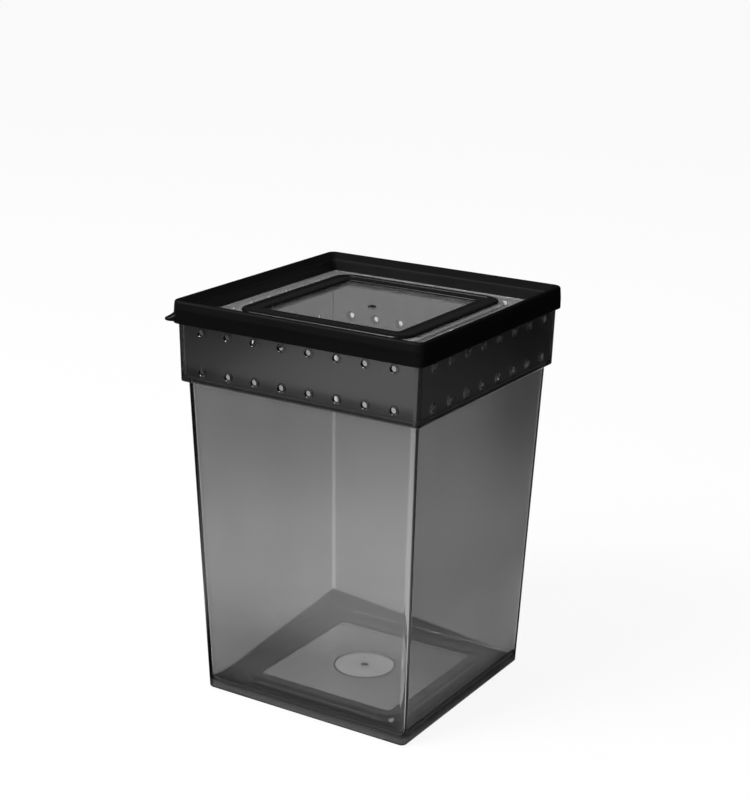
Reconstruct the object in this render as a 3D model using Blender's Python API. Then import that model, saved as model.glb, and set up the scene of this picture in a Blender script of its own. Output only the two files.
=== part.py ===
"""Reptile breeding box: a tall tapered tub with a vented collar, a framed lid and a lift-out feeding hatch.

Metres, +Z up. The origin is the middle of the surface that the tub stands on.
Every piece is a square form turned about the Z axis of the box, so each one is written as a list of
stations (half width, corner radius, height) that run round its cross-section, like the profile of a lathe.
"""

from math import cos, pi, radians, sin

import bmesh
import bpy
from mathutils import Matrix, Vector

# Tub: body, step and collar
BASE_WIDTH = 0.0840
BODY_FLARE = 0.0044
BODY_HEIGHT = 0.1173
COLLAR_STEP = 0.0019
COLLAR_FLARE = 0.0005
COLLAR_HEIGHT = 0.0259
TUB_WALL = 0.0019
TUB_CORNER_RADIUS = 0.0022
TUB_INNER_CORNER_RADIUS = 0.0007
TUB_EDGE_ROUND = 0.0005
FOOT_EDGE_ROUND = 0.0008

# Tub: wide cove, raised platform and sunk middle field of the floor
FLOOR_THICKNESS = 0.0019
COVE_RADIUS = 0.0070
CHANNEL_WIDTH = 0.0016
PLATFORM_RISE = 0.0026
PLATFORM_CORNER_RADIUS = 0.0052
PLATFORM_EDGE_ROUND = 0.0005
FIELD_BORDER = 0.0044
FIELD_SINK = 0.0007
FIELD_SLOPE = 0.0010
FIELD_CORNER_RADIUS = 0.0009

# Tub: vent holes and gate mark
VENT_DIAMETER = 0.0030
VENTS_PER_ROW = 8
VENT_ROW_MARGIN = 0.0098
VENT_ROW_SHARES = (0.178, 0.718)
GATE_DISC_DIAMETER = 0.0230
GATE_DISC_SINK = 0.0004
GATE_NUB_DIAMETER = 0.0026

# Lid frame
LID_DRAFT = 0.0002
LID_CORNER_RADIUS = 0.0032
LID_EDGE_ROUND = 0.0010
LID_ROOF = 0.0015
RIM_FALL = 0.0022
SKIRT_HEIGHT = 0.0081
SKIRT_WALL = 0.00105
SKIRT_INNER_CORNER_RADIUS = 0.0022
RECESS_DRAFT = 0.0003
RECESS_WALL = 0.0011
RECESS_DEPTH = 0.0061
RECESS_CORNER_RADIUS = 0.0014
RECESS_EDGE_ROUND = 0.0006
LEDGE_WIDTH = 0.0011
LEDGE_THICKNESS = 0.0009

# Finger lip on one corner of the skirt
LIP_REACH = 0.0031
LIP_RAISE = 0.0011
LIP_UNDERCUT = 0.0003
LIP_TIP_THICKNESS = 0.0009
LIP_ROOT_THICKNESS = 0.0026
LIP_SPREAD_DEG = 45.0

# Lid panel, with the raised land that the hatch rests on
PANEL_THICKNESS = 0.0015
PANEL_BAND = 0.01485
OPENING_CORNER_RADIUS = 0.0022
LAND_BAND = 0.0059
LAND_HEIGHT = 0.0009
LAND_CORNER_RADIUS = 0.0081
LAND_EDGE_ROUND = 0.0003

# Hatch frame and window
HATCH_BAND = 0.0040
HATCH_CORNER_RADIUS = 0.0066
HATCH_FLANGE = 0.0011
HATCH_BEAD_WIDTH = 0.0022
HATCH_GROOVE_DEPTH = 0.0004
WINDOW_LIP = 0.00165
SIGHT_CORNER_RADIUS = 0.0009
PLUG_WALL = 0.0011
PLUG_DEPTH = 0.0029
PLUG_DRAFT = 0.0002
WINDOW_THICKNESS = 0.0015
WINDOW_GATE_DIAMETER = 0.0030
WINDOW_GATE_HEIGHT = 0.0003
WINDOW_NUB_DIAMETER = 0.0009
WINDOW_NUB_HEIGHT = 0.0004

# Clearances: a resting or bonded seat, the lid over the mouth and the plug in its opening
SEAT_GAP = 0.0003
MOUTH_CLEARANCE = 0.00035
PLUG_CLEARANCE = 0.0004
CUT_OVERRUN = 0.0010
UNION_SINK = 0.0002

# How far each bead of the hatch frame falls to half its groove, as a share of its half width
BEAD_FALL_SHARE = 0.6

# Facets
CORNER_STEPS = 8
ROUND_STEPS = 3
COVE_STEPS = 5
VENT_SIDES = 16
DISC_SIDES = 48
NUB_SIDES = 16

# Half widths from the foot out to the mouth, and where one piece fits in or over another
COLLAR_FOOT_HALF = BASE_WIDTH / 2 + BODY_FLARE + COLLAR_STEP
MOUTH_HALF = COLLAR_FOOT_HALF + COLLAR_FLARE
SKIRT_INNER_HALF = MOUTH_HALF + MOUTH_CLEARANCE
LID_HALF = SKIRT_INNER_HALF + SKIRT_WALL
MOUTH_INNER_HALF = MOUTH_HALF - TUB_WALL
RECESS_HALF = MOUTH_INNER_HALF - MOUTH_CLEARANCE - RECESS_WALL
RIM_CREST_HALF = LID_HALF - LID_DRAFT - LID_EDGE_ROUND
RIM_SLOPE = RIM_FALL / (RIM_CREST_HALF - RECESS_HALF)
OPENING_HALF = RECESS_HALF - PANEL_BAND
LAND_HALF = OPENING_HALF + LAND_BAND
HATCH_HALF = OPENING_HALF + HATCH_BAND
PLUG_HALF = OPENING_HALF - PLUG_CLEARANCE
PLUG_INNER_HALF = PLUG_HALF - PLUG_DRAFT - PLUG_WALL
SIGHT_HALF = PLUG_INNER_HALF - WINDOW_LIP

# Heights where one piece rests on another
TUB_HEIGHT = BODY_HEIGHT + COLLAR_HEIGHT
LID_TOP = TUB_HEIGHT + SEAT_GAP + LID_ROOF + RIM_SLOPE * (RIM_CREST_HALF - MOUTH_INNER_HALF)
SKIRT_BOTTOM = LID_TOP - SKIRT_HEIGHT
PANEL_TOP = LID_TOP - RECESS_DEPTH
PANEL_BOTTOM = PANEL_TOP - PANEL_THICKNESS
LEDGE_TOP = PANEL_BOTTOM - SEAT_GAP
LAND_TOP = PANEL_TOP + LAND_HEIGHT
FLANGE_UNDERSIDE = LAND_TOP + SEAT_GAP
HATCH_TOP = FLANGE_UNDERSIDE + HATCH_FLANGE
WINDOW_TOP = FLANGE_UNDERSIDE - SEAT_GAP
COVE_TOP = FLOOR_THICKNESS + COVE_RADIUS
PLATFORM_TOP = FLOOR_THICKNESS + PLATFORM_RISE
FIELD_UNDERSIDE = PLATFORM_RISE - FIELD_SINK


def clear_scene():
    for old in list(bpy.data.objects):
        bpy.data.objects.remove(old, do_unlink=True)


def body_half(height):
    """Half width of the body's outer face, which widens evenly from the foot to the step."""
    return BASE_WIDTH / 2 + BODY_FLARE * height / BODY_HEIGHT


def collar_half(height):
    """Half width of the collar's outer face, which widens a little from the step to the mouth."""
    return COLLAR_FOOT_HALF + COLLAR_FLARE * (height - BODY_HEIGHT) / COLLAR_HEIGHT


def channel_roof(half):
    """Height of the rim's underside, which falls inwards with its top."""
    return LID_TOP - LID_ROOF - RIM_SLOPE * (RIM_CREST_HALF - half)


def cove_half():
    """Half width at the foot of the cove, where it runs out into the flat floor."""
    return body_half(COVE_TOP) - TUB_WALL - COVE_RADIUS


def platform_half():
    return cove_half() - CHANNEL_WIDTH


def field_half():
    return platform_half() - FIELD_BORDER


def quarter_round(half, corner, height, radius, start_deg):
    """Stations along a quarter circle of the cross-section.

    The arc's centre is (half, height) and start_deg turns from +half towards +height. The corner radius of
    each station grows and shrinks with the half width.
    """
    stations = []
    for step in range(ROUND_STEPS + 1):
        angle = radians(start_deg + 90 * step / ROUND_STEPS)
        out = radius * cos(angle)
        stations.append((half + out, corner + out, height + radius * sin(angle)))
    return stations


def corner_points(half, radius, height, steps, pull=0.0):
    """Points round a square with rounded corners, seen from above and going anticlockwise.

    pull draws the corner at -X -Y outwards into a tongue that fades out over LIP_SPREAD_DEG.
    """
    points = []
    for quarter in range(4):
        for step in range(steps + 1):
            angle = quarter * pi / 2 + (pi / 2) * step / steps
            centre_angle = quarter * pi / 2 + pi / 4
            centre = Vector((cos(centre_angle), sin(centre_angle), 0)) * (half - radius) * 2 ** 0.5
            point = centre + Vector((cos(angle), sin(angle), 0)) * radius
            if quarter == 2:
                off = abs(angle - centre_angle) / radians(LIP_SPREAD_DEG)
                tongue = cos(min(off, 1) ** 2 * pi / 2)
                point += Vector((cos(centre_angle), sin(centre_angle), 0)) * pull * tongue
            points.append(Vector((point.x, point.y, height)))
    return points


def square_turned(name, stations, closed):
    """Solid from a cross-section: closed joins the last station to the first, otherwise both ends are capped."""
    mesh = bpy.data.meshes.new(name)
    bm = bmesh.new()
    rings = []
    for half, radius, height, *pull in stations:
        corners = corner_points(half, radius, height, CORNER_STEPS, *pull)
        verts = [bm.verts.new(point) for point in corners]
        edges = [bm.edges.new((verts[i - 1], verts[i])) for i in range(len(verts))]
        rings.append((verts, edges))
    pairs = list(zip(rings, rings[1:]))
    if closed:
        pairs.append((rings[-1], rings[0]))
    else:
        bm.faces.new(rings[0][0])
        bm.faces.new(rings[-1][0])
    for (lower, _), (upper, _) in pairs:
        for i in range(len(lower)):
            bm.faces.new((lower[i - 1], lower[i], upper[i], upper[i - 1]))
    bmesh.ops.recalc_face_normals(bm, faces=bm.faces)
    bm.to_mesh(mesh)
    bm.free()
    solid = bpy.data.objects.new(name, mesh)
    bpy.context.collection.objects.link(solid)
    return solid


def drum(name, diameter, height, sides, place, axis="Z"):
    """Plain cylinder, centred on place, that lies along one of the box's axes."""
    mesh = bpy.data.meshes.new(name)
    bm = bmesh.new()
    bmesh.ops.create_cone(bm, cap_ends=True, segments=sides, radius1=diameter / 2, radius2=diameter / 2, depth=height)
    turns = {"X": Matrix.Rotation(pi / 2, 4, "Y"), "Y": Matrix.Rotation(pi / 2, 4, "X"), "Z": Matrix.Identity(4)}
    bmesh.ops.transform(bm, matrix=Matrix.Translation(place) @ turns[axis], verts=bm.verts)
    bm.to_mesh(mesh)
    bm.free()
    solid = bpy.data.objects.new(name, mesh)
    bpy.context.collection.objects.link(solid)
    return solid


def as_cutter(tool):
    tool.hide_render = True
    tool.display_type = "WIRE"
    return tool


def combine(target, tool, operation):
    """Live Boolean on target by tool, which stays in the scene as a hidden guide."""
    as_cutter(tool)
    modifier = target.modifiers.new(f"{operation.lower()} {tool.name}", "BOOLEAN")
    modifier.operation = operation
    modifier.solver = "EXACT"
    modifier.object = tool


def merge_meshes(name, parts):
    """One object from several that don't touch, such as a row of drills."""
    bm = bmesh.new()
    for part in parts:
        bm.from_mesh(part.data)
        bpy.data.objects.remove(part, do_unlink=True)
    mesh = bpy.data.meshes.new(name)
    bm.to_mesh(mesh)
    bm.free()
    joined = bpy.data.objects.new(name, mesh)
    bpy.context.collection.objects.link(joined)
    return joined


def plastic(name, colour, roughness, see_through):
    """Moulded styrene: colour and gloss as they look, and how much light the wall lets through."""
    material = bpy.data.materials.new(name)
    material.use_nodes = True
    shader = material.node_tree.nodes["Principled BSDF"]
    shader.inputs["Base Color"].default_value = (*colour, 1)
    shader.inputs["Roughness"].default_value = roughness
    shader.inputs["Metallic"].default_value = 0
    shader.inputs["IOR"].default_value = 1.59
    shader.inputs["Transmission Weight"].default_value = see_through
    return material


def smoky_tub_plastic():
    return plastic("smoky tub plastic", (0.30, 0.30, 0.31), 0.12, 0.9)


def clear_panel_plastic():
    return plastic("clear panel plastic", (0.42, 0.42, 0.43), 0.08, 0.9)


def clear_window_plastic():
    return plastic("clear window plastic", (0.40, 0.40, 0.41), 0.08, 0.9)


def black_lid_plastic():
    return plastic("black lid plastic", (0.010, 0.010, 0.011), 0.32, 0.1)


def black_hatch_plastic():
    return plastic("black hatch plastic", (0.014, 0.014, 0.015), 0.30, 0.1)


def finish(solid, material, parent=None):
    """Smooth shading with crisp moulded edges, the piece's material and its parent."""
    solid.data.shade_smooth()
    solid.data.set_sharp_from_angle(angle=radians(35))
    solid.data.materials.append(material)
    if parent:
        solid.parent = parent
        solid.matrix_parent_inverse = parent.matrix_world.inverted()
    return solid


def slide_axis(name, height, parent=None):
    """Empty on the vertical axis that a lift-off piece rises along."""
    empty = bpy.data.objects.new(name, None)
    empty.empty_display_size = OPENING_HALF
    bpy.context.collection.objects.link(empty)
    empty.parent = parent
    empty.location = (0, 0, height - (parent.location.z if parent else 0))
    bpy.context.view_layer.update()
    return empty


def tub_underside():
    """From the middle of the underside out to the foot: sunk field, platform hollow and standing band."""
    hollow = platform_half() - FLOOR_THICKNESS
    hollow_corner = PLATFORM_CORNER_RADIUS - FLOOR_THICKNESS
    stations = [
        (field_half(), FIELD_CORNER_RADIUS, FIELD_UNDERSIDE),
        (field_half() + FIELD_SLOPE, FIELD_CORNER_RADIUS + FIELD_SLOPE, PLATFORM_RISE),
        (hollow, hollow_corner, PLATFORM_RISE),
        (hollow, hollow_corner, PLATFORM_EDGE_ROUND),
        (hollow + PLATFORM_EDGE_ROUND, hollow_corner + PLATFORM_EDGE_ROUND, 0),
    ]
    r = FOOT_EDGE_ROUND
    return stations + quarter_round(body_half(r) - r, TUB_CORNER_RADIUS - r, r, r, -90)


def tub_outside():
    """Up the tapered body, out over the step, up the collar and over the mouth's edge."""
    r = TUB_EDGE_ROUND
    stations = [(body_half(BODY_HEIGHT), TUB_CORNER_RADIUS, BODY_HEIGHT)]
    stations += quarter_round(collar_half(BODY_HEIGHT + r) - r, TUB_CORNER_RADIUS - r, BODY_HEIGHT + r, r, -90)
    stations += quarter_round(MOUTH_HALF - r, TUB_CORNER_RADIUS - r, TUB_HEIGHT - r, r, 0)
    stations += quarter_round(MOUTH_INNER_HALF + r, TUB_INNER_CORNER_RADIUS + r, TUB_HEIGHT - r, r, 90)
    return stations


def tub_inside():
    """Down the collar, in over the inner step, down the body, round the cove and up onto the platform."""
    corner = TUB_INNER_CORNER_RADIUS
    shelf = BODY_HEIGHT + TUB_WALL
    r = PLATFORM_EDGE_ROUND
    stations = [
        (collar_half(shelf) - TUB_WALL, corner, shelf),
        (body_half(shelf) - TUB_WALL, corner, shelf),
    ]
    for step in range(COVE_STEPS + 1):
        angle = (pi / 2) * step / COVE_STEPS
        stations.append((cove_half() + COVE_RADIUS * cos(angle), corner, COVE_TOP - COVE_RADIUS * sin(angle)))
    stations.append((platform_half(), PLATFORM_CORNER_RADIUS, FLOOR_THICKNESS))
    stations += quarter_round(platform_half() - r, PLATFORM_CORNER_RADIUS - r, PLATFORM_TOP - r, r, 0)
    stations += [
        (field_half() + FIELD_SLOPE, FIELD_CORNER_RADIUS + FIELD_SLOPE, PLATFORM_TOP),
        (field_half(), FIELD_CORNER_RADIUS, PLATFORM_TOP - FIELD_SINK),
    ]
    return stations


def vent_drills():
    """Two rows of short drills through each side of the collar."""
    drills = []
    reach = TUB_WALL + 2 * CUT_OVERRUN
    row_end = COLLAR_FOOT_HALF - VENT_ROW_MARGIN
    for row, share in enumerate(VENT_ROW_SHARES):
        height = BODY_HEIGHT + COLLAR_HEIGHT * share
        mid_wall = collar_half(height) - TUB_WALL / 2
        for index in range(VENTS_PER_ROW):
            along = row_end * (2 * index / (VENTS_PER_ROW - 1) - 1)
            for side in (-1, 1):
                label = f"drill {row} {index} {side}"
                place_x = Vector((side * mid_wall, along, height))
                place_y = Vector((along, side * mid_wall, height))
                drills.append(drum(label + " x", VENT_DIAMETER, reach, VENT_SIDES, place_x, "X"))
                drills.append(drum(label + " y", VENT_DIAMETER, reach, VENT_SIDES, place_y, "Y"))
    return merge_meshes("vent drills", drills)


def gate_disc_cutter():
    """Shallow round sink under the floor, cut as a flat ring so that the gate nub stays in its middle."""
    depth = GATE_DISC_SINK + CUT_OVERRUN
    middle = Vector((0, 0, FIELD_UNDERSIDE + GATE_DISC_SINK - depth / 2))
    disc = drum("gate disc cutter", GATE_DISC_DIAMETER, depth, DISC_SIDES, middle)
    nub = drum("gate nub keep", GATE_NUB_DIAMETER, depth + CUT_OVERRUN, NUB_SIDES, middle)
    combine(disc, nub, "DIFFERENCE")
    return disc


def make_tub():
    stations = tub_underside() + tub_outside() + tub_inside()
    tub = square_turned("tub", stations, closed=False)
    combine(tub, vent_drills(), "DIFFERENCE")
    combine(tub, gate_disc_cutter(), "DIFFERENCE")
    return finish(tub, smoky_tub_plastic())


def make_lid_frame(axis):
    """Skirt, sloping rim and recess wall as one channel that drops over the mouth, with the panel's ledge."""
    corner = LID_CORNER_RADIUS
    recess_foot = RECESS_HALF - RECESS_DRAFT
    recess_corner = RECESS_CORNER_RADIUS
    foot = LEDGE_TOP - LEDGE_THICKNESS
    recess_back = RECESS_HALF + RECESS_WALL
    lip_low = SKIRT_BOTTOM + LIP_RAISE
    stations = [
        (LID_HALF, corner, SKIRT_BOTTOM),
        (LID_HALF, corner, lip_low - LIP_UNDERCUT),
        (LID_HALF, corner, lip_low, LIP_REACH),
        (LID_HALF, corner, lip_low + LIP_TIP_THICKNESS, LIP_REACH),
        (LID_HALF, corner, lip_low + LIP_ROOT_THICKNESS),
    ]
    r = LID_EDGE_ROUND
    stations += quarter_round(RIM_CREST_HALF, corner - r, LID_TOP - r, r, 0)
    r = RECESS_EDGE_ROUND
    stations += quarter_round(RECESS_HALF + r, recess_corner + r, LID_TOP - RIM_FALL - r, r, 90)[1:]
    stations += [
        (recess_foot, recess_corner, LEDGE_TOP),
        (recess_foot - LEDGE_WIDTH, recess_corner, LEDGE_TOP),
        (recess_foot - LEDGE_WIDTH, recess_corner, foot),
        (recess_foot + RECESS_WALL, recess_corner + RECESS_WALL, foot),
        (recess_back, recess_corner + RECESS_WALL, channel_roof(recess_back)),
        (SKIRT_INNER_HALF, SKIRT_INNER_CORNER_RADIUS, channel_roof(SKIRT_INNER_HALF)),
        (SKIRT_INNER_HALF, SKIRT_INNER_CORNER_RADIUS, SKIRT_BOTTOM),
    ]
    return finish(square_turned("lid_frame", stations, closed=True), black_lid_plastic(), axis)


def make_lid_panel(axis):
    """Clear plate on the frame's ledge, with the hatch opening and the low land that the hatch rests on."""
    plate = RECESS_HALF - RECESS_DRAFT - SEAT_GAP
    r = LAND_EDGE_ROUND
    stations = [
        (plate, RECESS_CORNER_RADIUS, PANEL_BOTTOM),
        (plate, RECESS_CORNER_RADIUS, PANEL_TOP),
        (LAND_HALF + r, LAND_CORNER_RADIUS + r, PANEL_TOP),
        (LAND_HALF, LAND_CORNER_RADIUS, PANEL_TOP + r),
    ]
    stations += quarter_round(LAND_HALF - r, LAND_CORNER_RADIUS - r, LAND_TOP - r, r, 0)[1:]
    stations += [
        (OPENING_HALF, OPENING_CORNER_RADIUS, LAND_TOP),
        (OPENING_HALF, OPENING_CORNER_RADIUS, PANEL_BOTTOM),
    ]
    return finish(square_turned("lid_panel", stations, closed=True), clear_panel_plastic(), axis)


def hatch_crown():
    """Top of the hatch frame from its outer edge inwards: a round bead, a shallow groove and an inner bead."""
    r = HATCH_BEAD_WIDTH / 2
    corner = HATCH_CORNER_RADIUS
    bead_centre = HATCH_HALF - r
    groove = HATCH_TOP - HATCH_GROOVE_DEPTH
    inner_top = HATCH_TOP - HATCH_GROOVE_DEPTH / 2
    stations = quarter_round(bead_centre, corner - r, HATCH_TOP - r, r, 0)
    stations += [
        (bead_centre - r * BEAD_FALL_SHARE, corner - r - r * BEAD_FALL_SHARE, inner_top),
        (bead_centre - r, corner - HATCH_BEAD_WIDTH, groove),
        (SIGHT_HALF + HATCH_BEAD_WIDTH, SIGHT_CORNER_RADIUS + HATCH_BEAD_WIDTH, groove),
        (SIGHT_HALF + r * (1 + BEAD_FALL_SHARE), SIGHT_CORNER_RADIUS + r * (1 + BEAD_FALL_SHARE), inner_top),
        (SIGHT_HALF + r * (1 - BEAD_FALL_SHARE), SIGHT_CORNER_RADIUS + r * (1 - BEAD_FALL_SHARE), inner_top),
        (SIGHT_HALF, SIGHT_CORNER_RADIUS, groove),
    ]
    return stations


def make_hatch_frame(axis):
    """Near-black ring: a beaded flange that rests on the land and covers the window's edge."""
    corner = HATCH_CORNER_RADIUS
    chamfer = HATCH_FLANGE - HATCH_BEAD_WIDTH / 2 + HATCH_GROOVE_DEPTH
    stations = [(HATCH_HALF - chamfer, corner - chamfer, FLANGE_UNDERSIDE)]
    stations += hatch_crown()
    stations.append((SIGHT_HALF, SIGHT_CORNER_RADIUS, FLANGE_UNDERSIDE))
    return finish(square_turned("hatch_frame", stations, closed=True), black_hatch_plastic(), axis)


def make_hatch_window(axis):
    """Clear pane bonded under the hatch frame, turned down all round as a plug, with its gate mark on top."""
    corner = OPENING_CORNER_RADIUS - PLUG_CLEARANCE
    plug_foot = WINDOW_TOP - PLUG_DEPTH
    stations = [
        (PLUG_INNER_HALF, corner - PLUG_WALL, WINDOW_TOP - WINDOW_THICKNESS),
        (PLUG_INNER_HALF, corner - PLUG_WALL, plug_foot),
        (PLUG_HALF - PLUG_DRAFT, corner, plug_foot),
        (PLUG_HALF, corner, WINDOW_TOP),
    ]
    window = square_turned("hatch_window", stations, closed=False)
    mark_height = WINDOW_GATE_HEIGHT + UNION_SINK
    mark_place = Vector((0, 0, WINDOW_TOP + WINDOW_GATE_HEIGHT - mark_height / 2))
    combine(window, drum("window gate", WINDOW_GATE_DIAMETER, mark_height, NUB_SIDES, mark_place), "UNION")
    nub_height = WINDOW_NUB_HEIGHT + UNION_SINK
    nub_place = Vector((0, 0, WINDOW_TOP + WINDOW_GATE_HEIGHT + WINDOW_NUB_HEIGHT - nub_height / 2))
    combine(window, drum("window nub", WINDOW_NUB_DIAMETER, nub_height, NUB_SIDES, nub_place), "UNION")
    return finish(window, clear_window_plastic(), axis)


clear_scene()
lid_axis = slide_axis("lid lift axis", TUB_HEIGHT)
hatch_axis = slide_axis("hatch lift axis", LAND_TOP, lid_axis)
make_tub()
make_lid_frame(lid_axis)
make_lid_panel(lid_axis)
make_hatch_frame(hatch_axis)
make_hatch_window(hatch_axis)
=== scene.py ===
"""Looks of a reptile breeding box: smoky tub, near-black lid frame and a feeding hatch that lifts out."""

import math
from types import SimpleNamespace

import bmesh
import bpy
from mathutils import Matrix, Vector


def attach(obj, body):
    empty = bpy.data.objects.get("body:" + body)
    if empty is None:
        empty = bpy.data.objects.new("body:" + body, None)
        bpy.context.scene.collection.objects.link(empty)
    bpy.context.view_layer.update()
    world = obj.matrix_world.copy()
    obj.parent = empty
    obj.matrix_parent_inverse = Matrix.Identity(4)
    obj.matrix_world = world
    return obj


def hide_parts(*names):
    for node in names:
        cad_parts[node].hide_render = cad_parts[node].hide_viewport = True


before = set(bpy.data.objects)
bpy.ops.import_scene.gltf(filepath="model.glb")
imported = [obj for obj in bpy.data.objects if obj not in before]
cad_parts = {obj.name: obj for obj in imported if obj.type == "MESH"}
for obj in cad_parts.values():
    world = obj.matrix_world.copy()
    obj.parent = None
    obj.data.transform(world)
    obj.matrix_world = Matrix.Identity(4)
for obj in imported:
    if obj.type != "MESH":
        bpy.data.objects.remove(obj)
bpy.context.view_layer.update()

mm = 0.001


# Tub
# One injection moulding in smoky styrene, 1.9 mm thick: a tall tapered body, a step out to an upright collar,
# and a floor with a wide cove, a raised platform and the round gate mark. The stations below run once round
# its cross-section, from the middle of the underside out, up, over the mouth and back down inside.

foot_half = 42.0
body_flare = 4.4
step_height = 117.3
collar_foot_half = 48.3
collar_flare = 0.5
mouth_height = 143.2
wall = 1.9
tub_corner = 2.2
tub_inner_corner = 0.7
edge_round = 0.5
fine_round = 0.3
step_round = 0.25
foot_round = 0.8

floor_thickness = 1.9
cove_radius = 7.0
platform_half = 31.83
platform_rise = 2.6
platform_corner = 5.2
field_half = 27.43
field_slope = 1.0
field_sink = 0.7
field_corner = 0.9
slab_half = 36.5
slab_top = 5.0

gate_radius = 11.5
gate_stub_radius = 1.3

# Where the vent holes lie on a side of the collar
holed_half = 41.5
holed_foot = step_height + 2.4

# Share of light that one wall lets through; the band over the step at the foot of the collar is painted shade
low_body_tone = 0.445
high_body_tone = 0.37
collar_tone = 0.095
hem_tone = 0.015

# Share of light that the floor lets through, from the cove in to the stub of the sprue. Painted shade
# darkens the cove, the slab, the platform's border and a ring round the disc; painted light lightens the
# raised field and the disc
cove_shade_tone = 0.03
shaded_cove_tone = 0.016
slab_shade_tone = 0.12
platform_shade_tone = 0.07
platform_edge_shade_tone = 0.02
lit_field_tone = 0.57
shaded_field_tone = 0.38
near_field_light_gain = 0.12
lit_disc_tone = 0.94
disc_rim_shade_tone = 0.05
stub_tone = 0.02

# Share of light that the outer skin and the sides of the holes let through. Painted shade darkens the skin
# at the foot, the sole, a band along the left corner and the sides of the holes, most in the Y walls
foot_shade_skin_tone = 0.22
body_skin_tone = 0.88
collar_skin_tone = 0.12
floor_skin_tone = 0.97
sole_shade_tone = 0.02
left_edge_shade_tone = 0.08
x_wall_hole_shade_tone = 0.3
y_wall_hole_shade_tone = 0.0005

# Share of the light that passes and isn't scattered, and roughness
clearness = 0.985
body_skin_clearness = 0.975
rubbed_foot_clearness = 0.72
body_roughness = 0.012
collar_roughness = 0.14
collar_inner_roughness = 0.45
sole_roughness = 0.5

# The painted shade over the cove, which climbs to the back left: its height in the middle, and its rise per
# mm
shade_height = 2.75
shade_climb = 0.091


def body_half(height):
    return foot_half + body_flare * height / step_height


def collar_half(height):
    return collar_foot_half + collar_flare * (height - step_height) / (mouth_height - step_height)


def soften(path, closed):
    """Stations of a cross-section with its corners rounded.

    path lists (half width, height, corner radius, round, pull). A round is limited by its neighbours, and
    the corner radius follows the half width round it, so that the walls stay parallel.
    """
    stations = []
    count = len(path)
    for i, (half, height, corner, fillet, pull) in enumerate(path):
        here = Vector((half, height))
        inner = 0 < i < count - 1 or closed
        before = Vector(path[i - 1][:2]) - here
        after = Vector(path[(i + 1) % count][:2]) - here
        if not inner or fillet <= 0 or before.length < 1e-6 or after.length < 1e-6:
            stations.append((half, height, corner, pull))
            continue
        opening = before.angle(after)
        if opening > math.radians(178):
            stations.append((half, height, corner, pull))
            continue
        reach = min(fillet / math.tan(opening / 2), 0.48 * before.length, 0.48 * after.length)
        radius = reach * math.tan(opening / 2)
        start = here + before.normalized() * reach
        end = here + after.normalized() * reach
        halfway = (before.normalized() + after.normalized()).normalized()
        middle = here + halfway * (radius / math.sin(opening / 2))
        turn = math.pi - opening
        steps = max(4, round(turn / math.radians(14)))
        start_arm = start - middle
        side = 1 if start_arm.cross(end - middle) > 0 else -1
        for step in range(steps + 1):
            point = middle + start_arm @ Matrix.Rotation(side * turn * step / steps, 2).transposed()
            stations.append((point.x, point.y, max(corner + point.x - half, 0.05), pull))
    if closed:
        stations.append(stations[0])
    return stations


class Field:
    """A number that a node tree works out, so that sums of such numbers read as sums."""

    def __init__(self, socket):
        self.socket = socket

    def __add__(self, other):
        return math_node("ADD", self, other)

    def __sub__(self, other):
        return math_node("SUBTRACT", self, other)

    def __rsub__(self, other):
        return math_node("SUBTRACT", other, self)

    def __mul__(self, other):
        return math_node("MULTIPLY", self, other)

    def __truediv__(self, other):
        return math_node("DIVIDE", self, other)

    def __pow__(self, other):
        return math_node("POWER", self, other)

    def __gt__(self, other):
        return math_node("GREATER_THAN", self, other)

    def __lt__(self, other):
        return math_node("LESS_THAN", self, other)

    def __abs__(self):
        return math_node("ABSOLUTE", self)


def feed(made, inputs):
    """Inputs of a node, by name or number, from fields, sockets and plain values."""
    for name, value in dict(inputs).items():
        socket = getattr(value, "socket", value)
        if isinstance(socket, bpy.types.NodeSocket):
            made.id_data.links.new(socket, made.inputs[name])
        else:
            made.inputs[name].default_value = value


def tree_node(tree, kind, inputs=(), **settings):
    """A node of tree with its settings and its inputs."""
    made = tree.nodes.new(kind)
    for name, value in settings.items():
        setattr(made, name, value)
    feed(made, inputs)
    return made


def math_node(operation, *terms):
    """Field of a Math node on fields and plain numbers."""
    tree = next(term.socket.id_data for term in terms if isinstance(term, Field))
    return Field(tree_node(tree, "ShaderNodeMath", dict(enumerate(terms)), operation=operation).outputs[0])


def largest(first, second):
    return math_node("MAXIMUM", first, second)


def smallest(first, second):
    return math_node("MINIMUM", first, second)


def parts_of(tree, spot):
    """X, Y and Z of a vector socket."""
    return [Field(part) for part in tree_node(tree, "ShaderNodeSeparateXYZ", {0: spot}).outputs]


def open_tree(name, inputs, output):
    """A Geometry Nodes tree, and its named inputs as fields."""
    tree = bpy.data.node_groups.new(name, "GeometryNodeTree")
    for label, kind in inputs.items():
        tree.interface.new_socket(label, in_out="INPUT", socket_type="NodeSocket" + kind)
    tree.interface.new_socket(output, in_out="OUTPUT", socket_type="NodeSocketGeometry")
    sockets = tree_node(tree, "NodeGroupInput").outputs
    return tree, {label: Field(sockets[label]) for label in inputs}


def close_tree(tree, geometry, finish, output):
    """The last nodes of a Geometry Nodes tree: plain geometry in its material."""
    plain = tree_node(tree, "GeometryNodeRealizeInstances", {"Geometry": geometry}).outputs[0]
    done = tree_node(tree, "GeometryNodeSetMaterial", {"Geometry": plain, "Material": finish}).outputs[0]
    tree_node(tree, "NodeGroupOutput", {output: done})
    return tree


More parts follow.
